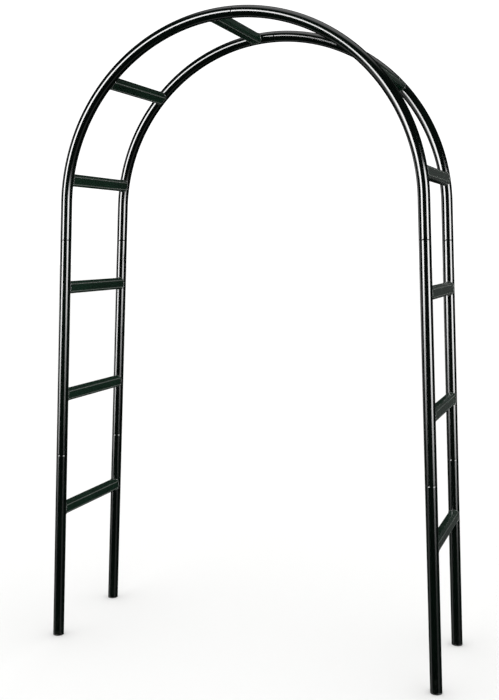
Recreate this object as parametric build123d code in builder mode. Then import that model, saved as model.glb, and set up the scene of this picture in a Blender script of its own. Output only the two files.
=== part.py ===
from build123d import *
import os
from math import cos, degrees, radians, sin, tan

# A free-standing garden arch: two round-tube hoops joined by crossbars.
# X is the width of the walkway, Y the way a person walks through, Z is up.
# The origin is on the ground, midway between the four feet.

# ---------------------------------------------------------------- driving dimensions, mm and degrees
tube_diameter = 42.4
tube_wall = 1.2
hoop_spacing = 460.0          # front hoop to rear hoop, centre to centre
arch_radius = 687.0           # centreline radius of the round top
arch_centre_height = 1693.0
leg_splay = 2.5               # how far each leg leans out from the vertical

leg_joint_height = 740.0      # lower leg meets upper leg
arch_joint_height = 1580.0    # upper leg meets the bent top tube
tube_end_height = 5.0         # the tube stops here, above its foot cap
joint_chamfer = 0.4           # softened ends of the straight tubes, which leave a fine seam

sleeve_clearance = 0.2        # all round, between a joint sleeve and the tube
sleeve_wall = 1.5
sleeve_reach = 70.0           # how far a sleeve enters each tube

screw_offset = 35.0           # from a leg joint to each of its two screws
crown_screw_offset = 24.0     # the same at the crown, clear of the crown crossbar
screw_diameter = 4.8
screw_length = 12.0
screw_tip_length = 3.0
screw_tip_radius = 1.6        # how much of the shank's radius the tip loses
screw_head_diameter = 9.0
screw_head_height = 2.6
screw_head_round = 1.8
screw_hole_clearance = 0.2
recess_length = 5.0
recess_width = 1.1
recess_depth = 1.4

bar_depth = 36.0              # across the hoop's plane of bend, from inside to outside
bar_height = 47.0             # along the tube
bar_corner = 12.0
bar_wall = 1.2
bar_root_gap = 0.1            # between the coped bar end and the tube, under the weld
leg_bar_heights = [518.0, 976.0, 1398.0]
arch_bar_angles = [9.8, 43.4] # round the top, up from the level of the arch centre
crown_bar_angle = 83.3        # on the left half, beside the crown joint

rod_reach = 60.0              # length each way of the rods that cope the bar ends

weld_size = 2.6
weld_start = 4.0              # the bead begins this far from the tube's centre plane

cap_spigot_length = 24.0
cap_spigot_wall = 2.4
cap_rib_height = 0.15
cap_rib_width = 1.6
cap_rib_spacings = [6.0, 12.0, 18.0]
cap_edge_round = 1.6

# ---------------------------------------------------------------- worked-out places
tube_radius = tube_diameter / 2
tube_bore = tube_diameter - 2 * tube_wall
sleeve_diameter = tube_bore - 2 * sleeve_clearance
half_spacing = hoop_spacing / 2
splay = radians(leg_splay)
tangent_x = arch_radius * cos(splay)
tangent_z = arch_centre_height + arch_radius * sin(splay)
backwards = Vector(0, 1, 0)

hoops = {"front": -half_spacing, "rear": half_spacing}
sides = {"left": -1, "right": 1}


def leg_point(side, y, height):
    """Centre of the leg tube at a height, on the left (-1) or right (+1)."""
    return Vector(side * (tangent_x + (tangent_z - height) * tan(splay)), y, height)


def leg_up(side):
    """Direction in which the leg rises."""
    return Vector(-side * sin(splay), 0, cos(splay))


def bend_start(side, y):
    """Where the straight leg ends and the round top begins."""
    return Vector(side * tangent_x, y, tangent_z)


def bend_axis(side):
    """Axis of the round top, which turns a leg's end up towards the crown."""
    return Axis((0, 0, arch_centre_height), (0, -side, 0))


def arch_point(side, y, angle):
    """Centre of the bent tube at an angle up from the level of the arch centre."""
    turn = radians(angle)
    return Vector(side * arch_radius * cos(turn), y, arch_centre_height + arch_radius * sin(turn))


def arch_up(side, angle):
    """Direction in which the bent tube runs, towards the crown."""
    turn = radians(angle)
    return Vector(-side * sin(turn), 0, cos(turn))


def write(piece, label):
    """Label a finished piece and write its STEP file."""
    piece.part.label = label
    export_step(piece.part, f"parts/{label}.step")


os.makedirs("parts", exist_ok=True)


# ---------------------------------------------------------------- short rods, for coping the crossbars
def leg_rod(side, y, height, diameter):
    """Solid rod along the leg, either side of a height."""
    start = leg_point(side, y, height) - leg_up(side) * rod_reach
    with BuildPart() as rod:
        with BuildSketch(Plane(origin=start, x_dir=backwards, z_dir=leg_up(side))):
            Circle(diameter / 2)
        extrude(amount=2 * rod_reach)
    return rod.part


def arch_rod(side, y, angle, diameter):
    """Solid rod along the bent tube, either side of an angle."""
    reach_angle = degrees(rod_reach / arch_radius)
    start = arch_point(side, y, angle - reach_angle)
    with BuildPart() as rod:
        with BuildSketch(Plane(origin=start, x_dir=backwards, z_dir=arch_up(side, angle - reach_angle))):
            Circle(diameter / 2)
        revolve(axis=bend_axis(side), revolution_arc=2 * reach_angle)
    return rod.part


# ---------------------------------------------------------------- hoop tubes
def leg_tube(label, side, y, low, high, screw_heights):
    """Straight leg tube between two heights, with a screw hole at each given height."""
    start = leg_point(side, y, low)
    end = leg_point(side, y, high)
    with BuildPart() as leg:
        with BuildSketch(Plane(origin=start, x_dir=backwards, z_dir=end - start)):
            Circle(tube_radius)
        extrude(amount=(end - start).length)
        chamfer(leg.edges().filter_by(GeomType.CIRCLE), length=joint_chamfer)
        with BuildSketch(Plane(origin=start, x_dir=backwards, z_dir=end - start)):
            Circle(tube_bore / 2)
        extrude(amount=(end - start).length, mode=Mode.SUBTRACT)
        for height in screw_heights:
            with BuildSketch(Plane(origin=leg_point(side, y, height), x_dir=leg_up(side), z_dir=backwards)):
                Circle((screw_diameter + screw_hole_clearance) / 2)
            extrude(amount=tube_diameter, mode=Mode.SUBTRACT)
    write(leg, label)


def arch_tube(label, side, y):
    """Half of the round top, with the short straight tail that meets the leg."""
    start = bend_start(side, y)
    outward = Vector(side * cos(splay), 0, sin(splay))
    tail = leg_point(side, y, arch_joint_height) - start
    low_hole = leg_point(side, y, arch_joint_height + screw_offset)
    with BuildPart() as arch:
        with BuildSketch(Plane(origin=start, x_dir=outward, z_dir=leg_up(side))):
            Circle(tube_radius)
            Circle(tube_bore / 2, mode=Mode.SUBTRACT)
        revolve(axis=bend_axis(side), revolution_arc=90 - leg_splay)
        with BuildSketch(Plane(origin=start, x_dir=outward, z_dir=tail)):
            Circle(tube_radius)
            Circle(tube_bore / 2, mode=Mode.SUBTRACT)
        extrude(amount=tail.length)
        low_screw_plane = Plane(origin=low_hole, x_dir=leg_up(side), z_dir=backwards)
        for screw_plane in [low_screw_plane, crown_screw_plane(side, y)]:
            with BuildSketch(screw_plane):
                Circle((screw_diameter + screw_hole_clearance) / 2)
            extrude(amount=tube_diameter, mode=Mode.SUBTRACT)
        low_face = arch.faces().filter_by(GeomType.PLANE).sort_by(Axis.Z)[0]
        chamfer(low_face.edges().sort_by(SortBy.LENGTH)[-1], length=joint_chamfer)
    write(arch, label)


def crown_screw_plane(side, y):
    """Plane on the tube's centreline beside the crown joint, facing backwards."""
    angle = 90 - degrees(crown_screw_offset / arch_radius)
    return Plane(origin=arch_point(side, y, angle), x_dir=arch_up(side, angle), z_dir=backwards)


for hoop, y in hoops.items():
    for side_name, side in sides.items():
        leg_tube(f"{hoop}_{side_name}_lower_leg", side, y, tube_end_height, leg_joint_height,
                 [leg_joint_height - screw_offset])
        leg_tube(f"{hoop}_{side_name}_upper_leg", side, y, leg_joint_height, arch_joint_height,
                 [leg_joint_height + screw_offset, arch_joint_height - screw_offset])
        arch_tube(f"{hoop}_{side_name}_arch_tube", side, y)


# ---------------------------------------------------------------- joint sleeves, inside the tubes
def leg_sleeve(label, side, y, joint_height):
    """Straight sleeve that joins two leg tubes from the inside."""
    rise = leg_up(side)
    start = leg_point(side, y, joint_height) - rise * sleeve_reach
    with BuildPart() as sleeve:
        with BuildSketch(Plane(origin=start, x_dir=backwards, z_dir=rise)):
            Circle(sleeve_diameter / 2)
            Circle(sleeve_diameter / 2 - sleeve_wall, mode=Mode.SUBTRACT)
        extrude(amount=2 * sleeve_reach)
        for height in [joint_height - screw_offset, joint_height + screw_offset]:
            with BuildSketch(Plane(origin=leg_point(side, y, height), x_dir=rise, z_dir=backwards)):
                Circle((screw_diameter + screw_hole_clearance) / 2)
            extrude(amount=tube_diameter, mode=Mode.SUBTRACT)
    write(sleeve, label)


def crown_sleeve(label, y):
    """Sleeve bent to the arch's own radius, which joins the two halves of the top."""
    reach_angle = degrees(sleeve_reach / arch_radius)
    start = arch_point(-1, y, 90 - reach_angle)
    with BuildPart() as sleeve:
        with BuildSketch(Plane(origin=start, x_dir=backwards, z_dir=arch_up(-1, 90 - reach_angle))):
            Circle(sleeve_diameter / 2)
            Circle(sleeve_diameter / 2 - sleeve_wall, mode=Mode.SUBTRACT)
        revolve(axis=bend_axis(-1), revolution_arc=2 * reach_angle)
        for side in sides.values():
            with BuildSketch(crown_screw_plane(side, y)):
                Circle((screw_diameter + screw_hole_clearance) / 2)
            extrude(amount=tube_diameter, mode=Mode.SUBTRACT)
    write(sleeve, label)


for hoop, y in hoops.items():
    for side_name, side in sides.items():
        leg_sleeve(f"{hoop}_{side_name}_leg_sleeve", side, y, leg_joint_height)
        leg_sleeve(f"{hoop}_{side_name}_arch_sleeve", side, y, arch_joint_height)
    crown_sleeve(f"{hoop}_crown_sleeve", y)


# ---------------------------------------------------------------- joint screws, driven in from the back
with BuildPart() as screw:
    with BuildSketch(Plane.XY):
        Circle(screw_head_diameter / 2)
    extrude(amount=screw_head_height)
    fillet(screw.edges().sort_by(Axis.Z)[-1], radius=screw_head_round)
    with BuildSketch(Plane.XY):
        Circle(screw_diameter / 2)
    extrude(amount=-screw_length)
    chamfer(screw.edges().sort_by(Axis.Z)[0], length=screw_tip_length, length2=screw_tip_radius)
    with BuildSketch(Plane.XY.offset(screw_head_height)):
        Rectangle(recess_length, recess_width)
        Rectangle(recess_width, recess_length)
    extrude(amount=-recess_depth, mode=Mode.SUBTRACT)

for hoop, y in hoops.items():
    seats = []
    for side in sides.values():
        for joint_height in [leg_joint_height, arch_joint_height]:
            for offset in [-screw_offset, screw_offset]:
                seat = leg_point(side, y, joint_height + offset) + backwards * tube_radius
                seats.append(Plane(origin=seat, x_dir=leg_up(side), z_dir=backwards))
        seats.append(crown_screw_plane(side, y).offset(tube_radius))
    with BuildPart() as joint_screws:
        with Locations(*seats):
            add(screw.part)
    write(joint_screws, f"{hoop}_hoop_joint_screws")


# ---------------------------------------------------------------- crossbars and their welds
def crossbar(label, centre, along, rod_at):
    """Rounded rectangular tube between the hoops, coped to fit their tubes.

    rod_at gives a short rod of a chosen diameter along the hoop at a chosen y.
    """
    with BuildPart() as bar:
        with BuildSketch(Plane(origin=centre - backwards * half_spacing, x_dir=along, z_dir=backwards)):
            RectangleRounded(bar_height, bar_depth, bar_corner)
            RectangleRounded(bar_height - 2 * bar_wall, bar_depth - 2 * bar_wall, bar_corner - bar_wall,
                             mode=Mode.SUBTRACT)
        extrude(amount=hoop_spacing)
        for y in hoops.values():
            add(rod_at(y, tube_diameter + 2 * bar_root_gap), mode=Mode.SUBTRACT)
    write(bar, label)


def weld_bead(centre, along, rod_at, y):
    """Bead round the end of a crossbar at one hoop, between the bar's face and the tube."""
    towards = backwards if y < 0 else -backwards
    start = centre - towards * (half_spacing - weld_start)
    with BuildPart() as bead:
        with BuildSketch(Plane(origin=start, x_dir=along, z_dir=towards)):
            RectangleRounded(bar_height + 2 * weld_size, bar_depth + 2 * weld_size, bar_corner + weld_size)
            RectangleRounded(bar_height, bar_depth, bar_corner, mode=Mode.SUBTRACT)
        extrude(amount=tube_diameter)
        add(rod_at(y, tube_diameter + 2 * weld_size), mode=Mode.INTERSECT)
        add(rod_at(y, tube_diameter), mode=Mode.SUBTRACT)
    return bead.part


def fitted_crossbar(label, centre, along, rod_at):
    """Write one crossbar and return the weld beads at its two ends."""
    crossbar(label, centre, along, rod_at)
    return [weld_bead(centre, along, rod_at, y) for y in hoops.values()]


def leg_crossbar(label, side, height):
    """Crossbar between the straight legs; returns its welds."""
    return fitted_crossbar(label, leg_point(side, 0, height), leg_up(side),
                           lambda y, diameter: leg_rod(side, y, height, diameter))


def arch_crossbar(label, side, angle):
    """Crossbar in the round top; returns its welds."""
    return fitted_crossbar(label, arch_point(side, 0, angle), arch_up(side, angle),
                           lambda y, diameter: arch_rod(side, y, angle, diameter))


for side_name, side in sides.items():
    beads = []
    for number, height in enumerate(leg_bar_heights, start=1):
        beads += leg_crossbar(f"{side_name}_crossbar_{number}", side, height)
    for name, angle in zip(["crossbar_4", "haunch_crossbar"], arch_bar_angles):
        beads += arch_crossbar(f"{side_name}_{name}", side, angle)
    with BuildPart() as side_welds:
        add(beads)
    write(side_welds, f"{side_name}_crossbar_welds")

beads = arch_crossbar("crown_crossbar", -1, crown_bar_angle)
with BuildPart() as crown_welds:
    add(beads)
write(crown_welds, "crown_crossbar_welds")


# ---------------------------------------------------------------- foot caps
def foot_cap(label, side, y):
    """Plug pressed into the end of a leg, with a rounded foot cut level with the ground."""
    rise = leg_up(side)
    seat = leg_point(side, y, tube_end_height)
    spigot = tube_bore / 2 - cap_rib_height
    with BuildPart() as cap:
        with BuildSketch(Plane(origin=seat, x_dir=backwards, z_dir=-rise)):
            Circle(tube_radius)
        extrude(amount=2 * tube_end_height)
        split(bisect_by=Plane.XY, keep=Keep.TOP)
        fillet(cap.faces().sort_by(Axis.Z)[0].edges(), radius=cap_edge_round)
        with BuildSketch(Plane(origin=seat, x_dir=backwards, z_dir=rise)):
            Circle(spigot)
            Circle(spigot - cap_spigot_wall, mode=Mode.SUBTRACT)
        extrude(amount=cap_spigot_length)
        for spacing in cap_rib_spacings:
            with BuildSketch(Plane(origin=seat + rise * spacing, x_dir=backwards, z_dir=rise)):
                Circle(spigot + cap_rib_height)
                Circle(spigot - cap_rib_height, mode=Mode.SUBTRACT)
            extrude(amount=cap_rib_width)
    write(cap, label)


for hoop, y in hoops.items():
    for side_name, side in sides.items():
        foot_cap(f"{hoop}_{side_name}_foot_cap", side, y)
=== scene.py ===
import logging
from abc import ABC, abstractmethod
from collections.abc import Callable, Iterator, Sequence
from contextlib import contextmanager
from dataclasses import dataclass
from enum import Enum
from functools import cache
from math import atan2, cos, hypot, pi, radians, sin, sqrt, tau

import bmesh
import bpy
from mathutils import Matrix, Vector


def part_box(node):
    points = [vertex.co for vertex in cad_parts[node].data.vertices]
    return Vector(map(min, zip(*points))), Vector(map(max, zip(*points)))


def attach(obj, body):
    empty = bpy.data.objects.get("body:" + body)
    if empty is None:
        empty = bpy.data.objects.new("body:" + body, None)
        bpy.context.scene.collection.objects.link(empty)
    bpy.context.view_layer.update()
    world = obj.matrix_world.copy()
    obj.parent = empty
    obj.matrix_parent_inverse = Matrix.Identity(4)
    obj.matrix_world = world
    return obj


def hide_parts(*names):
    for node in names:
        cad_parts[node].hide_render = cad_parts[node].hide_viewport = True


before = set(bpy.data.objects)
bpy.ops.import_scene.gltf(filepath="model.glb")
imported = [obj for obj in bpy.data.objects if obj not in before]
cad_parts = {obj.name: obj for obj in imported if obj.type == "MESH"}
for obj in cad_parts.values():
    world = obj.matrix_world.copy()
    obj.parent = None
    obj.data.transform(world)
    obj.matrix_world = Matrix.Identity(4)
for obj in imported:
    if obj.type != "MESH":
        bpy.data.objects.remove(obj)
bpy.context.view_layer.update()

log = logging.getLogger("garden_arch")

Colour = tuple[float, float, float]
Point = tuple[float, float, float]


class Side(Enum):
    """A side of the walkway, by the sign of its X."""

    LEFT = -1
    RIGHT = 1

    @property
    def label(self) -> str:
        """Word for this side in a node's name."""
        return self.name.lower()


class Hoop(Enum):
    """One of the two hoops, by its word in a node's name."""

    FRONT = "front"
    REAR = "rear"


# ------------------------------------------------------------------ shader graphs
class Value:
    """An output of a node, with arithmetic for plain numbers."""

    def __init__(self, graph: "Graph", socket: bpy.types.NodeSocket | None) -> None:
        self.graph = graph
        self.socket = socket

    def _math(self, operation: str, *terms: "Value | float", clamp: bool = False) -> "Value":
        """Add a Math node.

        Args:
            operation: The Math node's operation.
            terms: Its inputs, in order.
            clamp: Whether the result is kept between 0 and 1.

        Returns:
            The node's result.
        """
        settings = {"operation": operation, "use_clamp": clamp}
        return self.graph.node("Math", settings, dict(enumerate(terms)))

    def __add__(self, other: "Value | float") -> "Value":
        """This plus other."""
        return self._math("ADD", self, other)

    def __radd__(self, other: float) -> "Value":
        """Other plus this."""
        return self._math("ADD", other, self)

    def __sub__(self, other: "Value | float") -> "Value":
        """This less other."""
        return self._math("SUBTRACT", self, other)

    def __rsub__(self, other: float) -> "Value":
        """Other less this."""
        return self._math("SUBTRACT", other, self)

    def __mul__(self, other: "Value | float") -> "Value":
        """This times other."""
        return self._math("MULTIPLY", self, other)

    def __rmul__(self, other: float) -> "Value":
        """Other times this."""
        return self._math("MULTIPLY", other, self)

    def size(self) -> "Value":
        """This value without its sign."""
        return self._math("ABSOLUTE", self)

    def at_most(self, limit: float) -> "Value":
        """This value, or the limit where that is less."""
        return self._math("MINIMUM", self, limit)

    def angle_over(self, other: "Value") -> "Value":
        """Angle of the direction whose opposite side is this and whose near side is other."""
        return self._math("ARCTAN2", self, other)

    def within_one(self) -> "Value":
        """This value, kept between 0 and 1."""
        return self._math("ADD", self, 0.0, clamp=True)

    def ramp(self, low: float, high: float) -> "Value":
        """Smooth rise from 0 at low to 1 at high.

        Args:
            low: Value at which the rise starts.
            high: Value at which it ends.

        Returns:
            The eased value.
        """
        settings = {"interpolation_type": "SMOOTHSTEP"}
        inputs = {"Value": self, "From Min": low, "From Max": high}
        return self.graph.node("MapRange", settings, inputs)


class Graph:
    """The node tree of a material or of the world."""

    def __init__(self, tree: bpy.types.NodeTree) -> None:
        tree.nodes.clear()
        self.tree = tree

    def node(
        self,
        kind: str,
        settings: dict[str, object] | None = None,
        inputs: dict[str | int, object] | None = None,
        output: str | int = 0,
    ) -> Value:
        """Add any node.

        Args:
            kind: The node's type, without its ShaderNode prefix.
            settings: The node's own settings, which are set first.
            inputs: Values or links, by the socket's name or number.
            output: Name or number of the output that is wanted.

        Returns:
            That output, or an empty value for a node that has none.
        """
        made = self.tree.nodes.new("ShaderNode" + kind)
        for name, setting in (settings or {}).items():
            setattr(made, name, setting)
        for key, given in (inputs or {}).items():
            socket = made.inputs[key]
            if isinstance(given, Value):
                self.tree.links.new(given.socket, socket)
            elif socket.type == "RGBA":
                socket.default_value = (*given, 1.0)
            else:
                socket.default_value = given
        return Value(self, made.outputs[output] if made.outputs else None)

    def place(self) -> Value:
        """Object coordinates, which are the arch's own, in metres."""
        return self.node("TexCoord", output="Object")

    def axis(self, vector: Value, letter: str) -> Value:
        """One part of a vector, by its letter."""
        return self.node("SeparateXYZ", inputs={0: vector}, output=letter)

    def noise(self, scale: float, detail: float = 3.0, stretch: Point = (1.0, 1.0, 1.0)) -> Value:
        """Soft noise on the object's own coordinates.

        Args:
            scale: Patches per metre.
            detail: Number of finer layers.
            stretch: Scale along each axis, smaller for longer patches.

        Returns:
            The noise, from 0 to 1.
        """
        turned = self.node("Mapping", inputs={"Vector": self.place(), "Scale": stretch})
        return self.node("TexNoise", inputs={"Vector": turned, "Scale": scale, "Detail": detail})

    def painted(self, attribute: str) -> Value:
        """A number painted on the mesh, by its attribute's name."""
        return self.node("Attribute", {"attribute_name": attribute}, output="Fac")

    def blend(self, share: Value | float, first: Value | Colour, second: Value | Colour) -> Value:
        """Mix two colours.

        Args:
            share: How much of the second colour, from 0 to 1.
            first: Colour at 0.
            second: Colour at 1.

        Returns:
            The mixed colour.
        """
        return self.node("Mix", {"data_type": "RGBA"}, {0: share, 6: first, 7: second}, output=2)

    def bump(self, height: Value, distance: float) -> Value:
        """Surface relief.

        Args:
            height: Height pattern, from 0 to 1.
            distance: Real height of that pattern, in metres.

        Returns:
            The bent normal.
        """
        inputs = {"Height": height, "Distance": distance}
        return self.node("Bump", inputs=inputs)


# ------------------------------------------------------------------ finishes
EDGE = "edge"       # attribute: 1 where a piece wears first, and along the crossbars' corners where a painted highlight line runs; 0 away from it


@dataclass(frozen=True)
class Finish(ABC):
    """A surface finish, built once and shared by the pieces that have it."""

    name: str

    def material(self) -> bpy.types.Material:
        """The finish's material, made on first use."""
        made = bpy.data.materials.get(self.name)
        if made is None:
            made = bpy.data.materials.new(self.name)
            made.use_nodes = True
            graph = Graph(made.node_tree)
            graph.node("OutputMaterial", inputs={"Surface": self.surface(graph)})
        return made

    @abstractmethod
    def surface(self, graph: Graph) -> Value:
        """Build the shader.

        Args:
            graph: The material's empty node tree.

        Returns:
            The shader's output.
        """

    def dress(self, piece: bpy.types.Object) -> None:
        """Give this finish to a piece, in place of what it has.

        Args:
            piece: The piece, new or as packed.
        """
        if not piece.material_slots:
            piece.data.materials.append(self.material())
        for slot in piece.material_slots:
            slot.material = self.material()


@dataclass(frozen=True)
class Enamel(Finish):
    """Gloss enamel on steel: nearly black green, a little dusty on top and rubbed at its edges; on
    the crossbars the edge mark is a painted highlight line.
    """

    deep: Colour = (0.0004, 0.0012, 0.0008)
    light: Colour = (0.0010, 0.0034, 0.0021)
    primer: Colour = (0.055, 0.060, 0.058)
    dust: Colour = (0.13, 0.13, 0.115)
    roughness: float = 0.13
    refraction: float = 1.58
    specular: float = 0.5
    peel_scale: float = 170.0
    peel_height: float = 0.000006
    dust_share: float = 0.05
    soil_share: float = 0.05
    soil_height: float = 0.16
    wear_share: float = 0.06
    wear_start: float = 0.50
    wear_ease: float = 0.16

    def surface(self, graph: Graph) -> Value:
        """Layer pigment, rub marks, dust and edge wear, which on the crossbars is a painted
        highlight line.

        Args:
            graph: The material's empty node tree.

        Returns:
            The shader's output.
        """
        facing = graph.axis(graph.node("NewGeometry", output="Normal"), "Z")     # 1 where level
        height = graph.axis(graph.place(), "Z")
        shade = graph.noise(2.4, 3.0).ramp(0.32, 0.68) * 0.75 + graph.noise(55.0, 4.0) * 0.25
        rubbed = graph.noise(70.0, 4.0, (1.0, 1.0, 0.06)).ramp(0.52, 0.80)
        settled = facing.ramp(0.35, 1.0) * graph.noise(38.0, 6.0).ramp(0.42, 0.74) * self.dust_share
        low = 1.0 - height.ramp(0.0, self.soil_height)
        splashed = low * graph.noise(110.0, 5.0).ramp(0.46, 0.70) * self.soil_share
        film = (settled + splashed).within_one()
        broken_up = graph.noise(420.0, 5.0).ramp(self.wear_start, self.wear_start + self.wear_ease)
        # Edge mark: wear at the hoops' tube ends and on the welds' ripples, and a painted highlight
        # line along the crossbars' corners.
        edge_mark = graph.painted(EDGE) * broken_up * self.wear_share
        colour = graph.blend(shade, self.deep, self.light)
        colour = graph.blend(film, colour, self.dust)
        colour = graph.blend(edge_mark, colour, self.primer)
        roughness = self.roughness + rubbed * 0.05 + film * 0.6 + edge_mark * 0.25
        peel = graph.noise(self.peel_scale, 2.0) + graph.noise(self.peel_scale * 3.1, 1.0) * 0.25
        normal = graph.bump(peel - edge_mark * 0.5, self.peel_height)
        sockets = {
            "Base Color": colour,
            "Roughness": roughness,
            "IOR": self.refraction,
            "Specular IOR Level": self.specular,
            "Normal": normal,
        }
        return graph.node("BsdfPrincipled", inputs=sockets)


@dataclass(frozen=True)
class ZincPlate(Finish):
    """Bright zinc plating with a faint passivated tint and draw marks."""

    cool: Colour = (0.50, 0.53, 0.56)
    warm: Colour = (0.60, 0.57, 0.47)

    def surface(self, graph: Graph) -> Value:
        """Mottle the plating and run fine marks along the sleeve.

        Args:
            graph: The material's empty node tree.

        Returns:
            The shader's output.
        """
        mottle = graph.noise(45.0, 4.0).ramp(0.35, 0.70)
        drawn = graph.noise(900.0, 3.0, (1.0, 1.0, 0.03))
        stained = graph.noise(160.0, 5.0).ramp(0.55, 0.75)
        sockets = {
            "Base Color": graph.blend(mottle, self.cool, self.warm),
            "Metallic": 1.0,
            "Roughness": 0.28 + drawn * 0.12 + stained * 0.15,
            "Normal": graph.bump(drawn, 0.00004),
        }
        return graph.node("BsdfPrincipled", inputs=sockets)


@dataclass(frozen=True)
class BlackenedSteel(Finish):
    """Oil-blackened screws, bright where a driver has rubbed them."""

    black: Colour = (0.020, 0.021, 0.023)
    brown: Colour = (0.034, 0.032, 0.030)
    bright: Colour = (0.34, 0.33, 0.31)

    def surface(self, graph: Graph) -> Value:
        """Show steel along rubbed edges.

        Args:
            graph: The material's empty node tree.

        Returns:
            The shader's output.
        """
        cloud = graph.noise(700.0, 4.0)
        edge_mark = graph.painted(EDGE) * graph.noise(1500.0, 4.0).ramp(0.42, 0.62)
        colour = graph.blend(cloud, self.black, self.brown)
        sockets = {
            "Base Color": graph.blend(edge_mark, colour, self.bright),
            "Metallic": 0.85,
            "Roughness": 0.42 + cloud * 0.18 - edge_mark * 0.20,
            "Normal": graph.bump(cloud, 0.00003),
        }
        return graph.node("BsdfPrincipled", inputs=sockets)


@dataclass(frozen=True)
class MouldedPlastic(Finish):
    """Black polyethylene with a spark-eroded grain, scuffed and dusty at the ground."""

    black: Colour = (0.0085, 0.0090, 0.0088)
    scuffed: Colour = (0.040, 0.039, 0.036)
    soil: Colour = (0.16, 0.14, 0.11)
    soil_height: float = 0.004

    def surface(self, graph: Graph) -> Value:
        """Grain the surface and scuff its lower edge.

        Args:
            graph: The material's empty node tree.

        Returns:
            The shader's output.
        """
        grain = graph.noise(1600.0, 3.0)
        scuff = graph.painted(EDGE) * graph.noise(500.0, 5.0).ramp(0.45, 0.65)
        low = 1.0 - graph.axis(graph.place(), "Z").ramp(0.0, self.soil_height)
        dusty = low * graph.noise(350.0, 5.0).ramp(0.40, 0.75) * 0.35
        colour = graph.blend(scuff, self.black, self.scuffed)
        sockets = {
            "Base Color": graph.blend(dusty, colour, self.soil),
            "Roughness": 0.48 + grain * 0.12 + dusty * 0.3,
            "Normal": graph.bump(grain, 0.00005),
        }
        return graph.node("BsdfPrincipled", inputs=sockets)


@dataclass(frozen=True)
class StudioFloor(Finish):
    """Matt pale floor."""

    pale: Colour = (0.88, 0.88, 0.87)
    paler: Colour = (0.90, 0.90, 0.895)

    def surface(self, graph: Graph) -> Value:
        """Give the floor a faint unevenness.

        Args:
            graph: The material's empty node tree.

        Returns:
            The shader's output.
        """
        patch = graph.noise(0.6, 2.0)
        colour = graph.blend(patch, self.pale, self.paler)
        return graph.node("BsdfDiffuse", inputs={"Color": colour})


HOOP_ENAMEL = Enamel("hoop_enamel_gloss")
# On the crossbars the light primer colour at full share paints a highlight line along each rounded
# corner.
BAR_ENAMEL = Enamel(
    "crossbar_enamel_gloss",
    deep=(0.0025, 0.0100, 0.0055),
    light=(0.0048, 0.0190, 0.0105),
    primer=(0.12, 0.13, 0.12),
    roughness=0.26,
    specular=0.30,
    dust_share=0.04,
    wear_share=1.0,
    wear_start=0.26,
)
WELD_ENAMEL = Enamel(
    "weld_enamel",
    deep=(0.0020, 0.0070, 0.0045),
    light=(0.0040, 0.0120, 0.0080),
    primer=(0.12, 0.13, 0.12),
    roughness=0.20,
    peel_height=0.00006,
    wear_share=0.60,
    wear_start=0.34,
)
SLEEVE_ZINC = ZincPlate("sleeve_zinc_plate")
SCREW_STEEL = BlackenedSteel("screw_blackened_steel")
CAP_PLASTIC = MouldedPlastic("foot_cap_moulded_plastic")


# ------------------------------------------------------------------ modelling steps
MERGED = 1e-6       # points closer than this are one
TOUCHING = 1e-5     # points closer than this to a plane are on it
SQUARE = 0.9        # a face with this much of its normal along an axis faces that way


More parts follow.
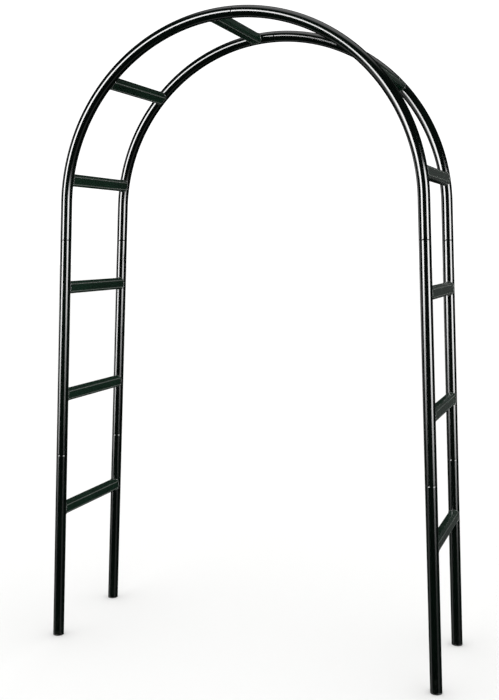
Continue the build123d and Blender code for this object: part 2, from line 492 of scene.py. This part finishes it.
class Bench:
    """Modelling steps that every piece shares."""

    @staticmethod
    def clear() -> None:
        """Leave nothing selected."""
        bpy.ops.object.select_all(action="DESELECT")

    @staticmethod
    def choose(piece: bpy.types.Object) -> None:
        """Select one piece and nothing else.

        Args:
            piece: The piece.
        """
        Bench.clear()
        piece.select_set(True)
        bpy.context.view_layer.objects.active = piece

    @staticmethod
    def take(name: str) -> bpy.types.Object:
        """Name the primitive that was just added.

        Args:
            name: The piece's name.

        Returns:
            The primitive.
        """
        piece = bpy.context.active_object
        piece.name = name
        piece.data.name = name
        return piece

    @staticmethod
    @contextmanager
    def editing(piece: bpy.types.Object, kind: str = "VERT") -> Iterator[None]:
        """Edit a piece's mesh for a while.

        Args:
            piece: The piece.
            kind: What is selected: VERT, EDGE or FACE.

        Yields:
            Nothing.
        """
        Bench.choose(piece)
        bpy.ops.object.mode_set(mode="EDIT")
        bpy.ops.mesh.select_mode(type=kind)
        yield
        bpy.ops.object.mode_set(mode="OBJECT")

    @staticmethod
    def pick_faces(piece: bpy.types.Object, test: Callable[[bmesh.types.BMFace], bool]) -> None:
        """Select the faces that pass a test, in edit mode.

        Args:
            piece: The piece, in edit mode.
            test: What is asked of each face.
        """
        bpy.ops.mesh.select_all(action="DESELECT")
        mesh = bmesh.from_edit_mesh(piece.data)
        for face in mesh.faces:
            face.select_set(test(face))
        bmesh.update_edit_mesh(piece.data)

    @staticmethod
    def pick_edges(piece: bpy.types.Object, test: Callable[[bmesh.types.BMEdge], bool]) -> None:
        """Select the edges that pass a test, in edit mode.

        Args:
            piece: The piece, in edit mode.
            test: What is asked of each edge.
        """
        bpy.ops.mesh.select_all(action="DESELECT")
        mesh = bmesh.from_edit_mesh(piece.data)
        for edge in mesh.edges:
            if test(edge):
                edge.select_set(True)
        bmesh.update_edit_mesh(piece.data)

    @staticmethod
    def cut(point: Point | Vector, normal: Point | Vector, **options: bool) -> None:
        """Cut the whole mesh by a plane, in edit mode.

        Args:
            point: A point on the plane.
            normal: The plane's normal.
            options: What bisect clears or fills.
        """
        bpy.ops.mesh.select_all(action="SELECT")
        bpy.ops.mesh.bisect(plane_co=point, plane_no=normal, **options)

    @staticmethod
    def modify(piece: bpy.types.Object, kind: str, **settings: object) -> None:
        """Add a modifier and apply it.

        Args:
            piece: The piece.
            kind: The modifier's type.
            settings: Its settings.
        """
        Bench.choose(piece)
        made = piece.modifiers.new(kind.lower(), kind)
        for name, setting in settings.items():
            setattr(made, name, setting)
        bpy.ops.object.modifier_apply(modifier=made.name)

    @staticmethod
    def soften(piece: bpy.types.Object, width: float) -> None:
        """Round every sharp edge of a piece.

        Args:
            piece: The piece.
            width: How far the rounding reaches from the edge.
        """
        Bench.modify(
            piece,
            "BEVEL",
            width=width,
            segments=2,
            limit_method="ANGLE",
            angle_limit=radians(60),
        )

    @staticmethod
    def settle(piece: bpy.types.Object, place: Matrix | None = None) -> None:
        """Put a piece in its place, with the place in its mesh.

        Args:
            piece: The piece, as modelled.
            place: Where it goes, or nothing if it was modelled there.
        """
        if place is not None:
            piece.matrix_world = place @ piece.matrix_world
        Bench.choose(piece)
        bpy.ops.object.transform_apply(location=True, rotation=True, scale=True)

    @staticmethod
    def smooth(piece: bpy.types.Object, angle: float = radians(32)) -> None:
        """Shade smooth, except across sharper edges.

        Args:
            piece: The piece.
            angle: Edges sharper than this stay sharp.
        """
        Bench.choose(piece)
        bpy.ops.object.shade_smooth_by_angle(angle=angle)

    @staticmethod
    def outward(piece: bpy.types.Object) -> None:
        """Merge doubled points and point every face outwards.

        Args:
            piece: The piece.
        """
        with Bench.editing(piece):
            bpy.ops.mesh.select_all(action="SELECT")
            bpy.ops.mesh.remove_doubles(threshold=MERGED)
            bpy.ops.mesh.normals_make_consistent(inside=False)

    @staticmethod
    def paint(piece: bpy.types.Object, share: Callable[[Vector], float]) -> None:
        """Paint a mark on each point: wear, and on the crossbars a painted highlight line.

        Args:
            piece: The piece.
            share: The mark from 0 to 1 at a point.
        """
        layer = piece.data.attributes.new(EDGE, "FLOAT", "POINT")
        layer.data.foreach_set("value", [share(point.co) for point in piece.data.vertices])

    @staticmethod
    def copy(piece: bpy.types.Object, place: Matrix) -> bpy.types.Object:
        """Copy a piece with its own mesh to another place.

        Args:
            piece: The piece to copy.
            place: Where the copy goes.

        Returns:
            The copy.
        """
        twin = piece.copy()
        twin.data = piece.data.copy()
        bpy.context.scene.collection.objects.link(twin)
        Bench.settle(twin, place)
        return twin

    @staticmethod
    def join(name: str, pieces: Sequence[bpy.types.Object]) -> bpy.types.Object:
        """Join pieces that are one part of the arch.

        Args:
            name: The joined piece's name.
            pieces: What is joined.

        Returns:
            The joined piece.
        """
        Bench.clear()
        for piece in pieces:
            piece.select_set(True)
        bpy.context.view_layer.objects.active = pieces[0]
        bpy.ops.object.join()
        return Bench.take(name)

    @staticmethod
    def discard(piece: bpy.types.Object) -> None:
        """Throw away a cutter or a pattern."""
        bpy.data.objects.remove(piece)


def fit(piece: bpy.types.Object, node: str, finish: Finish) -> None:
    """Dress a finished piece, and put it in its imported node's place.

    Args:
        piece: The finished piece.
        node: The node that it stands for.
        finish: Its finish.
    """
    finish.dress(piece)
    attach(piece, "root")
    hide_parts(node)
    log.info("%s stands for %s: %d faces", piece.name, node, len(piece.data.polygons))


# ------------------------------------------------------------------ centre lines
@cache
def node_box(node: str) -> tuple[Vector, Vector]:
    """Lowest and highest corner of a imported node."""
    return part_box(node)


@dataclass(frozen=True)
class CentreLines:
    """Where the tubes run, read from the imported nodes' boxes."""

    tube_radius: float = 0.0212
    bend_radius: float = 0.687
    splay: float = radians(2.5)

    def bend_centre(self, hoop: Hoop) -> Vector:
        """Centre of a hoop's round top."""
        low, high = node_box(f"{hoop.value}_left_arch_tube")
        return Vector((0, (low.y + high.y) / 2, high.z - self.tube_radius - self.bend_radius))

    def leg_up(self, side: Side) -> Vector:
        """Direction in which a leg rises."""
        return Vector((-side.value * sin(self.splay), 0, cos(self.splay)))

    def leg_ends(self, node: str, side: Side) -> tuple[Vector, Vector]:
        """Lower and upper end of a straight tube's centre line.

        Args:
            node: The tube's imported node.
            side: Its side of the walkway.

        Returns:
            The two ends.
        """
        low, high = node_box(node)
        middle = (low.y + high.y) / 2
        across = self.tube_radius * cos(self.splay)
        drop = self.tube_radius * sin(self.splay)
        reach = sorted((abs(low.x), abs(high.x)))
        foot = Vector((side.value * (reach[1] - across), middle, low.z + drop))
        head = Vector((side.value * (reach[0] + across), middle, high.z - drop))
        return foot, head

    def bend_start(self, hoop: Hoop, side: Side) -> Vector:
        """Point where a straight leg runs into the round top."""
        away = Vector((side.value * cos(self.splay), 0, sin(self.splay)))
        return self.bend_centre(hoop) + away * self.bend_radius

    def tail_end(self, hoop: Hoop, side: Side) -> Vector:
        """Lower end of the bent tube's straight tail.

        Args:
            hoop: The tube's hoop.
            side: Its side of the walkway.

        Returns:
            The end of its centre line.
        """
        low, _ = node_box(f"{hoop.value}_{side.label}_arch_tube")
        start = self.bend_start(hoop, side)
        rise = self.leg_up(side)
        drop = start.z - low.z - self.tube_radius * sin(self.splay)
        return start - rise * (drop / rise.z)

    def along(self, point: Vector) -> Vector:
        """Direction of the tube beside a point, towards the crown.

        Args:
            point: A point near the centre line.

        Returns:
            The unit direction.
        """
        side = Side.RIGHT if point.x > 0 else Side.LEFT
        rise = point.z - self.bend_centre(Hoop.FRONT).z
        angle = max(self.splay, atan2(rise, abs(point.x)))
        return Vector((-side.value * sin(angle), 0, cos(angle)))

    def bar_frame(self, node: str) -> Matrix:
        """Frame at a crossbar's middle: X along the tubes, Y along the bar.

        Args:
            node: The crossbar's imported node.

        Returns:
            The frame as a matrix.
        """
        low, high = node_box(node)
        middle = (low + high) / 2
        first = self.along(middle)
        return frame_at(middle, first, Vector((0, 1, 0)))


def frame_at(origin: Vector, first: Vector, second: Vector) -> Matrix:
    """A frame from two square directions.

    Args:
        origin: Where it stands.
        first: Its X.
        second: Its Y.

    Returns:
        The frame as a matrix.
    """
    third = first.cross(second)
    turned = Matrix((first, second, third)).transposed().to_4x4()
    return Matrix.Translation(origin) @ turned


# ------------------------------------------------------------------ hoops
@dataclass(frozen=True)
class HoopTubes:
    """The six tubes of one hoop: two legs in two lengths each, and two halves of the top."""

    hoop: Hoop
    lines: CentreLines
    wall: float = 0.0012
    rim: float = 0.0004
    sides: int = 64
    bend_steps: int = 72
    worn_length: float = 0.004

    def straight(self, part: str, side: Side) -> None:
        """Model one straight leg tube.

        Args:
            part: Which tube: lower_leg or upper_leg.
            side: Its side of the walkway.
        """
        node = f"{self.hoop.value}_{side.label}_{part}"
        foot, head = self.lines.leg_ends(node, side)
        Bench.clear()
        bpy.ops.mesh.primitive_cylinder_add(
            vertices=self.sides,
            radius=self.lines.tube_radius,
            depth=(head - foot).length,
            end_fill_type="NOTHING",
            location=(foot + head) / 2,
            rotation=(0, -side.value * self.lines.splay, 0),
        )
        piece = Bench.take(f"{node}_tube")
        Bench.settle(piece)
        self.finish(piece, node, [(foot, head), (head, foot)])

    def bent(self, side: Side) -> None:
        """Model one half of the round top with its straight tail.

        Args:
            side: Its side of the walkway.
        """
        node = f"{self.hoop.value}_{side.label}_arch_tube"
        centre = self.lines.bend_centre(self.hoop)
        start = self.lines.bend_start(self.hoop, side)
        tail = self.lines.tail_end(self.hoop, side)
        rise = self.lines.leg_up(side)
        Bench.clear()
        bpy.ops.mesh.primitive_circle_add(
            vertices=self.sides,
            radius=self.lines.tube_radius,
            location=start,
            rotation=(0, -side.value * self.lines.splay, 0),
        )
        piece = Bench.take(f"{node}_bent")
        Bench.settle(piece)
        with Bench.editing(piece, "EDGE"):
            bpy.ops.mesh.select_all(action="SELECT")
            bpy.ops.mesh.spin(
                steps=self.bend_steps,
                angle=pi / 2 - self.lines.splay,
                center=centre,
                axis=(0, side.value, 0),
            )
            Bench.pick_edges(piece, lambda edge: edge.is_boundary and all(
                abs((point.co - start).dot(rise)) < TOUCHING for point in edge.verts))
            bpy.ops.mesh.extrude_region_move(TRANSFORM_OT_translate={"value": tail - start})
        crown = centre + Vector((0, 0, self.lines.bend_radius))
        inward = Vector((side.value, 0, 0))
        self.finish(piece, node, [(tail, tail + rise), (crown, crown + inward)])

    def finish(
        self,
        piece: bpy.types.Object,
        node: str,
        ends: Sequence[tuple[Vector, Vector]],
    ) -> None:
        """Give a tube its wall, soft rims and wear at its ends.

        Args:
            piece: The tube's outer skin.
            node: The node that it stands for.
            ends: For each end, its centre and a point further into the tube.
        """
        faces = [(centre, (within - centre).normalized()) for centre, within in ends]
        with Bench.editing(piece):
            for centre, inwards in faces:
                Bench.cut(centre + inwards * self.worn_length, inwards)
        Bench.outward(piece)
        Bench.modify(piece, "SOLIDIFY", thickness=self.wall, offset=-1.0)
        Bench.soften(piece, self.rim)
        Bench.smooth(piece)

        def wear(point: Vector) -> float:
            """Wear at a point: full at the tube's ends."""
            depth = min((point - centre).dot(inwards) for centre, inwards in faces)
            return 1.0 if depth < self.worn_length / 2 else 0.0

        Bench.paint(piece, wear)
        fit(piece, node, HOOP_ENAMEL)

    def build(self) -> None:
        """Model all six tubes."""
        for side in Side:
            self.straight("lower_leg", side)
            self.straight("upper_leg", side)
            self.bent(side)


# ------------------------------------------------------------------ crossbars and welds
@dataclass(frozen=True)
class Crossbars:
    """The rounded rectangular bars between the hoops, coped to the round tubes."""

    lines: CentreLines
    height: float = 0.047
    depth: float = 0.036
    corner: float = 0.012
    corner_steps: int = 12
    wall: float = 0.0012
    root_gap: float = 0.0001
    cutter_length: float = 0.12
    cutter_sides: int = 128
    # Where the painted highlight line sits on each rounded corner, and how far it spreads.
    rubbed_turn: float = radians(14)
    rubbed_reach: float = radians(11)
    numbered_bars: int = 4

    def nodes(self) -> list[str]:
        """Every crossbar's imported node."""
        count = range(1, self.numbered_bars + 1)
        numbered = [f"{side.label}_crossbar_{number}" for side in Side for number in count]
        return [*numbered, "left_haunch_crossbar", "right_haunch_crossbar", "crown_crossbar"]

    def hoop_reach(self) -> float:
        """Distance from a bar's middle to a hoop's centre line."""
        return abs(self.lines.bend_centre(Hoop.FRONT).y)

    def pattern(self) -> bpy.types.Object:
        """Model one bar at the origin, along Y.

        Returns:
            The bar, before it is placed.
        """
        reach = self.hoop_reach()
        Bench.clear()
        bpy.ops.mesh.primitive_plane_add(size=1.0, location=(0, -reach, 0), rotation=(pi / 2, 0, 0))
        bar = Bench.take("crossbar_pattern")
        Bench.settle(bar)
        with Bench.editing(bar):
            bpy.ops.mesh.select_all(action="SELECT")
            bpy.ops.transform.resize(value=(self.height, 1.0, self.depth))
            bpy.ops.mesh.bevel(offset=self.corner, segments=self.corner_steps, affect="VERTICES")
            bpy.ops.mesh.select_all(action="SELECT")
            bpy.ops.mesh.extrude_region_move(TRANSFORM_OT_translate={"value": (0, 2 * reach, 0)})
            bpy.ops.mesh.select_mode(type="FACE")
            Bench.pick_faces(bar, lambda face: abs(face.normal.y) > SQUARE)
            bpy.ops.mesh.delete(type="ONLY_FACE")
        Bench.outward(bar)
        Bench.modify(bar, "SOLIDIFY", thickness=self.wall, offset=-1.0)
        for end in (-reach, reach):
            Bench.clear()
            bpy.ops.mesh.primitive_cylinder_add(
                vertices=self.cutter_sides,
                radius=self.lines.tube_radius + self.root_gap,
                depth=self.cutter_length,
                location=(0, end, 0),
                rotation=(0, pi / 2, 0),
            )
            cutter = Bench.take("cope_cutter")
            Bench.modify(bar, "BOOLEAN", object=cutter, operation="DIFFERENCE", solver="EXACT")
            Bench.discard(cutter)
        Bench.smooth(bar)
        Bench.modify(bar, "WEIGHTED_NORMAL", keep_sharp=True)
        # Paint the highlight line along the corners.
        Bench.paint(bar, self.corner_share)
        return bar

    def corner_share(self, point: Vector) -> float:
        """Painted highlight at a point of the bar: a light line along each corner, where it leaves
        the broad face.

        Args:
            point: A point of the bar's own frame.

        Returns:
            Painted highlight from 0 to 1.
        """
        along = abs(point.x) - (self.height / 2 - self.corner)
        across = abs(point.z) - (self.depth / 2 - self.corner)
        if along < -TOUCHING or across <= 0:
            return 0.0
        apart = abs(atan2(along, across) - self.rubbed_turn) / self.rubbed_reach
        return max(0.0, 1.0 - apart)

    def build(self) -> None:
        """Model one bar and copy it to every place."""
        pattern = self.pattern()
        for node in self.nodes():
            bar = Bench.copy(pattern, self.lines.bar_frame(node))
            bar.name = f"{node}_bar"
            bar.data.name = bar.name
            fit(bar, node, BAR_ENAMEL)
        Bench.discard(pattern)


@dataclass(frozen=True)
class WeldBeads:
    """Rippled beads round both ends of every crossbar."""

    lines: CentreLines
    bars: Crossbars
    radius: float = 0.0019
    set_back: float = 0.0007
    ripples: int = 58
    steps_per_ripple: int = 6
    round_steps: int = 10
    ripple_depth: float = 0.10
    ripple_slope: float = 1.6
    wander: float = 0.06
    blank_radius: float = 0.25
    stride: float = 0.2

    def outline(self, share: float) -> tuple[Vector, Vector]:
        """Walk round the bar's outline.

        Args:
            share: How far round, from 0 to 1.

        Returns:
            The point and the outward direction there, in the bar's own X and Z.
        """
        flat_x = self.bars.height / 2 - self.bars.corner
        flat_z = self.bars.depth / 2 - self.bars.corner
        arc = self.bars.corner * pi / 2
        runs = [2 * flat_z, arc, 2 * flat_x, arc] * 2
        left = share * sum(runs)
        corners = [(flat_x, -flat_z), (flat_x, flat_z), (-flat_x, flat_z), (-flat_x, -flat_z)]
        for index, run in enumerate(runs):
            if left <= run or index == len(runs) - 1:
                break
            left -= run
        quarter = index // 2
        turn = quarter * pi / 2
        if index % 2:
            turn += left / self.bars.corner
            centre = corners[(quarter + 1) % 4]
            walked = 0.0
        else:
            centre = corners[quarter]
            walked = left
        away = Vector((cos(turn), 0, sin(turn)))
        ahead = Vector((-sin(turn), 0, cos(turn)))
        return Vector((centre[0], 0, centre[1])) + away * self.bars.corner + ahead * walked, away

    def root(self, share: float) -> Vector:
        """Centre of the bead, at the bar's front end.

        Args:
            share: How far round, from 0 to 1.

        Returns:
            The point in the bar's own frame.
        """
        point, away = self.outline(share % 1.0)
        point += away * self.set_back
        lifted = self.lines.tube_radius + self.set_back
        point.y = sqrt(lifted**2 - point.z**2) - self.bars.hoop_reach()
        return point

    def pattern(self) -> bpy.types.Object:
        """Model the bead at a bar's front end.

        Returns:
            The bead, in the bar's own frame.
        """
        steps = self.ripples * self.steps_per_ripple
        step = self.stride / steps
        Bench.clear()
        bpy.ops.mesh.primitive_torus_add(
            major_segments=steps,
            minor_segments=self.round_steps,
            major_radius=1.0,
            minor_radius=self.blank_radius,
        )
        bead = Bench.take("weld_pattern")
        Bench.settle(bead)
        heights = []
        for vertex in bead.data.vertices:
            ring = hypot(vertex.co.x, vertex.co.y)
            share = (atan2(vertex.co.y, vertex.co.x) / tau) % 1.0
            turn = atan2(vertex.co.z, ring - 1.0)
            _, away = self.outline(share)
            ahead = (self.root(share + step) - self.root(share - step)).normalized()
            rise = away.cross(ahead).normalized()
            phase = (share * self.ripples) % 1.0
            ripple = 1.0 - phase**self.ripple_slope
            size = 1.0 + self.ripple_depth * (ripple - 0.5)
            size += self.wander * sin(tau * share * 3 + 0.7) * cos(tau * share * 5)
            reach = self.radius * size
            skin = away * (cos(turn) * reach) + rise * (sin(turn) * reach)
            vertex.co = self.root(share) + skin
            heights.append(ripple)
        layer = bead.data.attributes.new(EDGE, "FLOAT", "POINT")
        layer.data.foreach_set("value", heights)
        Bench.outward(bead)
        Bench.smooth(bead, radians(60))
        return bead

    def build(self) -> None:
        """Copy the bead to both ends of every bar, one piece for each welded group."""
        pattern = self.pattern()
        over = Matrix.Rotation(pi, 4, "X")
        for group in ("left", "right", "crown"):
            beads = []
            for node in self.bars.nodes():
                if node.startswith(group):
                    place = self.lines.bar_frame(node)
                    beads += [Bench.copy(pattern, place), Bench.copy(pattern, place @ over)]
            piece = Bench.join(f"{group}_weld_beads", beads)
            fit(piece, f"{group}_crossbar_welds", WELD_ENAMEL)
        Bench.discard(pattern)


# ------------------------------------------------------------------ screws and feet
@dataclass(frozen=True)
class JointScrews:
    """Pan-head screws, driven into the joints from behind."""

    lines: CentreLines
    head_radius: float = 0.0045
    head_height: float = 0.0026
    head_round: float = 0.0018
    shank_radius: float = 0.0024
    shank_length: float = 0.012
    tip_length: float = 0.003
    tip_share: float = 0.34
    sides: int = 40
    round_steps: int = 7
    recess_length: float = 0.005
    recess_width: float = 0.0011
    recess_depth: float = 0.0014
    joint_offset: float = 0.035
    crown_offset: float = 0.024

    def pattern(self) -> bpy.types.Object:
        """Model one screw at the origin, its head towards Z.

        Returns:
            The screw, before it is placed.
        """
        Bench.clear()
        bpy.ops.mesh.primitive_cylinder_add(
            vertices=self.sides,
            radius=self.head_radius,
            depth=self.head_height,
            location=(0, 0, self.head_height / 2),
        )
        screw = Bench.take("screw_pattern")
        Bench.settle(screw)
        with Bench.editing(screw, "FACE"):
            Bench.pick_faces(screw, lambda face: face.normal.z < -SQUARE)
            bpy.ops.mesh.inset(thickness=self.head_radius - self.shank_radius)
            for length in (self.shank_length - self.tip_length, self.tip_length):
                bpy.ops.mesh.extrude_region_move(TRANSFORM_OT_translate={"value": (0, 0, -length)})
            bpy.ops.transform.resize(
                value=(self.tip_share, self.tip_share, 1.0),
                center_override=(0, 0, -self.shank_length),
            )
            bpy.ops.mesh.select_mode(type="EDGE")
            Bench.pick_edges(screw, lambda edge: all(
                point.co.z > self.head_height - TOUCHING for point in edge.verts))
            bpy.ops.mesh.bevel(offset=self.head_round, segments=self.round_steps, affect="EDGES")
        Bench.outward(screw)
        top = Matrix.Translation((0, 0, self.head_height))
        arm = (self.recess_length, self.recess_width)
        for size in (arm, arm[::-1]):
            Bench.clear()
            bpy.ops.mesh.primitive_cube_add(size=1.0)
            cutter = Bench.take("recess_cutter")
            Bench.settle(cutter, top @ Matrix.Diagonal((*size, self.recess_depth * 2, 1.0)))
            Bench.modify(screw, "BOOLEAN", object=cutter, operation="DIFFERENCE", solver="EXACT")
            Bench.discard(cutter)
        Bench.smooth(screw)
        Bench.paint(screw, self.rubbed)
        return screw

    def rubbed(self, point: Vector) -> float:
        """Wear at a point: the rim of the recess and the crown of the head."""
        return 1.0 if point.z > self.head_height - self.head_round / 3 else 0.0

    def seats(self, hoop: Hoop) -> list[Matrix]:
        """Frames for a hoop's screws, at the back of its tubes.

        Args:
            hoop: The hoop.

        Returns:
            One frame a screw, its Z pointing backwards.
        """
        back = Vector((0, 1, 0))
        places = []
        for side in Side:
            rise = self.lines.leg_up(side)
            _, lower_joint = self.lines.leg_ends(f"{hoop.value}_{side.label}_lower_leg", side)
            for joint in (lower_joint, self.lines.tail_end(hoop, side)):
                for offset in (-self.joint_offset, self.joint_offset):
                    places.append((joint + rise * offset, rise))
            angle = pi / 2 - self.crown_offset / self.lines.bend_radius
            reach = Vector((side.value * cos(angle), 0, sin(angle))) * self.lines.bend_radius
            centre = self.lines.bend_centre(hoop) + reach
            places.append((centre, self.lines.along(centre)))
        out = back * self.lines.tube_radius
        return [frame_at(point + out, rise.cross(back), rise) for point, rise in places]

    def build(self) -> None:
        """Copy the screw to every joint, one piece for each hoop."""
        pattern = self.pattern()
        for hoop in Hoop:
            screws = [Bench.copy(pattern, seat) for seat in self.seats(hoop)]
            piece = Bench.join(f"{hoop.value}_pan_head_screws", screws)
            fit(piece, f"{hoop.value}_hoop_joint_screws", SCREW_STEEL)
        Bench.discard(pattern)


@dataclass(frozen=True)
class FootCaps:
    """Moulded plugs in the four feet, cut level with the ground."""

    lines: CentreLines
    sides: int = 64
    edge_round: float = 0.0016
    round_steps: int = 5
    lip_round: float = 0.0003
    spigot_radius: float = 0.01985
    spigot_wall: float = 0.0024
    spigot_length: float = 0.024

    def cap(self, hoop: Hoop, side: Side) -> None:
        """Model one foot cap in its place.

        Args:
            hoop: Its hoop.
            side: Its side of the walkway.
        """
        prefix = f"{hoop.value}_{side.label}"
        seat, _ = self.lines.leg_ends(f"{prefix}_lower_leg", side)
        rise = self.lines.leg_up(side)
        radius = self.lines.tube_radius
        Bench.clear()
        bpy.ops.mesh.primitive_cylinder_add(
            vertices=self.sides,
            radius=radius,
            depth=2 * seat.z,
            location=seat - rise * seat.z,
            rotation=(0, -side.value * self.lines.splay, 0),
        )
        piece = Bench.take(f"{prefix}_foot")
        Bench.settle(piece)
        with Bench.editing(piece, "EDGE"):
            Bench.cut((0, 0, 0), (0, 0, 1), use_fill=True, clear_inner=True)
            Bench.pick_edges(piece, lambda edge: all(
                point.co.z < TOUCHING for point in edge.verts))
            bpy.ops.mesh.bevel(offset=self.edge_round, segments=self.round_steps, affect="EDGES")
            bpy.ops.mesh.select_mode(type="FACE")
            Bench.pick_faces(piece, lambda face: face.normal.z > SQUARE)
            bpy.ops.mesh.inset(thickness=radius - self.spigot_radius)
            up = {"value": rise * self.spigot_length}
            down = {"value": -rise * (self.spigot_length - self.spigot_wall)}
            bpy.ops.mesh.extrude_region_move(TRANSFORM_OT_translate=up)
            bpy.ops.mesh.inset(thickness=self.spigot_wall)
            bpy.ops.mesh.extrude_region_move(TRANSFORM_OT_translate=down)
        Bench.outward(piece)
        Bench.soften(piece, self.lip_round)
        Bench.smooth(piece)
        Bench.paint(piece, lambda point: 1.0 if point.z < self.edge_round else 0.0)
        fit(piece, f"{prefix}_foot_cap", CAP_PLASTIC)

    def build(self) -> None:
        """Model all four caps."""
        for hoop in Hoop:
            for side in Side:
                self.cap(hoop, side)


def dress_sleeves() -> None:
    """Give the hidden joint sleeves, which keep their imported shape, their plating."""
    for name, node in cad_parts.items():
        if name.endswith("_sleeve"):
            SLEEVE_ZINC.dress(node)
            log.info("%s keeps its packed shape", name)


# ------------------------------------------------------------------ studio
@dataclass(frozen=True)
class Softbox:
    """A tall soft light far from the arch, which only the gloss mirrors.

    Its bearing, half_width and edge are in degrees, and its bearing is from the front towards the
    right. Heights are sines of the angle above the horizon: it is at its full strength between
    full and top, and only an ember of it is left below low. It leans to the left by lean radians
    for each unit below the horizon.
    """

    bearing: float
    half_width: float
    radiance: float
    lean: float = 0.0
    edge: float = 3.0
    top: float = 0.24
    top_ease: float = 0.08
    full: float = -0.03
    low: float = -0.30
    ember: float = 0.03

    def glow(self, bearing: Value, height: Value) -> Value:
        """Radiance of the light in a direction.

        Args:
            bearing: The direction's bearing, in radians.
            height: Sine of its angle above the horizon.

        Returns:
            The radiance.
        """
        apart = (bearing - radians(self.bearing) - height.at_most(0.0) * self.lean).size()
        inner = radians(self.half_width - self.edge)
        outer = radians(self.half_width + self.edge)
        body = 1.0 - apart.ramp(inner, outer)
        lower = height.ramp(self.low, self.full)
        faded = lower * lower * (1.0 - self.ember) + self.ember
        upper = 1.0 - height.ramp(self.top, self.top + self.top_ease)
        return body * faded * upper * self.radiance


@dataclass(frozen=True)
class Studio:
    """Pale floor, soft light and the camera."""

    camera_place: Point = (1.333, -3.625, 1.570)
    camera_turn: float = radians(20.53)
    camera_tilt: float = radians(83.92)
    lens: float = 51.69
    view_depth: float = 300.0
    floor_size: float = 120.0
    dome: float = 1.16
    mirrored_dome: float = 0.008
    overhead: float = 1.5
    overhead_low: float = 0.80
    overhead_full: float = 0.92
    softboxes: tuple[Softbox, ...] = (
        Softbox(bearing=-30.0, half_width=12.0, radiance=22.0, lean=2.0),
        Softbox(bearing=70.0, half_width=15.0, radiance=18.0, ember=0.016),
        Softbox(bearing=-112.0, half_width=14.0, radiance=1.8),
        Softbox(
            bearing=170.0,
            half_width=8.0,
            radiance=0.11,
            top=0.40,
            full=-0.28,
            low=-0.38,
        ),
    )

    def camera(self) -> None:
        """Set up the camera."""
        data = bpy.data.cameras.new("camera")
        data.lens = self.lens
        data.clip_end = self.view_depth
        camera = bpy.data.objects.new("camera", data)
        camera.location = self.camera_place
        camera.rotation_euler = (self.camera_tilt, 0, self.camera_turn)
        bpy.context.scene.collection.objects.link(camera)
        bpy.context.scene.camera = camera

    def floor(self) -> None:
        """Lay the floor at the feet."""
        Bench.clear()
        bpy.ops.mesh.primitive_plane_add(size=self.floor_size)
        floor = Bench.take("studio_floor")
        StudioFloor("studio_floor_pale").dress(floor)
        floor.visible_glossy = False

    def light(self) -> None:
        """Surround the arch with an even dome that the gloss mirrors as softboxes."""
        world = bpy.data.worlds.new("studio_dome")
        world.use_nodes = True
        graph = Graph(world.node_tree)
        away = graph.node("TexCoord", output="Generated")
        height = graph.axis(away, "Z")
        bearing = graph.axis(away, "X").angle_over(graph.axis(away, "Y") * -1.0)
        above = height.ramp(self.overhead_low, self.overhead_full)
        mirrored = above * self.overhead + self.mirrored_dome
        for softbox in self.softboxes:
            mirrored = mirrored + softbox.glow(bearing, height)
        glossy = graph.node("LightPath", output="Is Glossy Ray")
        strength = (mirrored - self.dome) * glossy + self.dome
        dome = graph.node("Background", inputs={"Color": (1.0, 1.0, 1.0), "Strength": strength})
        graph.node("OutputWorld", inputs={"Surface": dome})
        bpy.context.scene.world = world

    def build(self) -> None:
        """Set up everything that isn't the arch."""
        bpy.context.scene.view_settings.view_transform = "Standard"
        self.camera()
        self.floor()
        self.light()


def main() -> None:
    """Build the arch's looks and its studio."""
    logging.basicConfig(level=logging.INFO, format="%(name)s: %(message)s")
    lines = CentreLines()
    for hoop in Hoop:
        HoopTubes(hoop, lines).build()
    bars = Crossbars(lines)
    bars.build()
    WeldBeads(lines, bars).build()
    JointScrews(lines).build()
    FootCaps(lines).build()
    dress_sleeves()
    Studio().build()


if __name__ == "__main__":
    main()
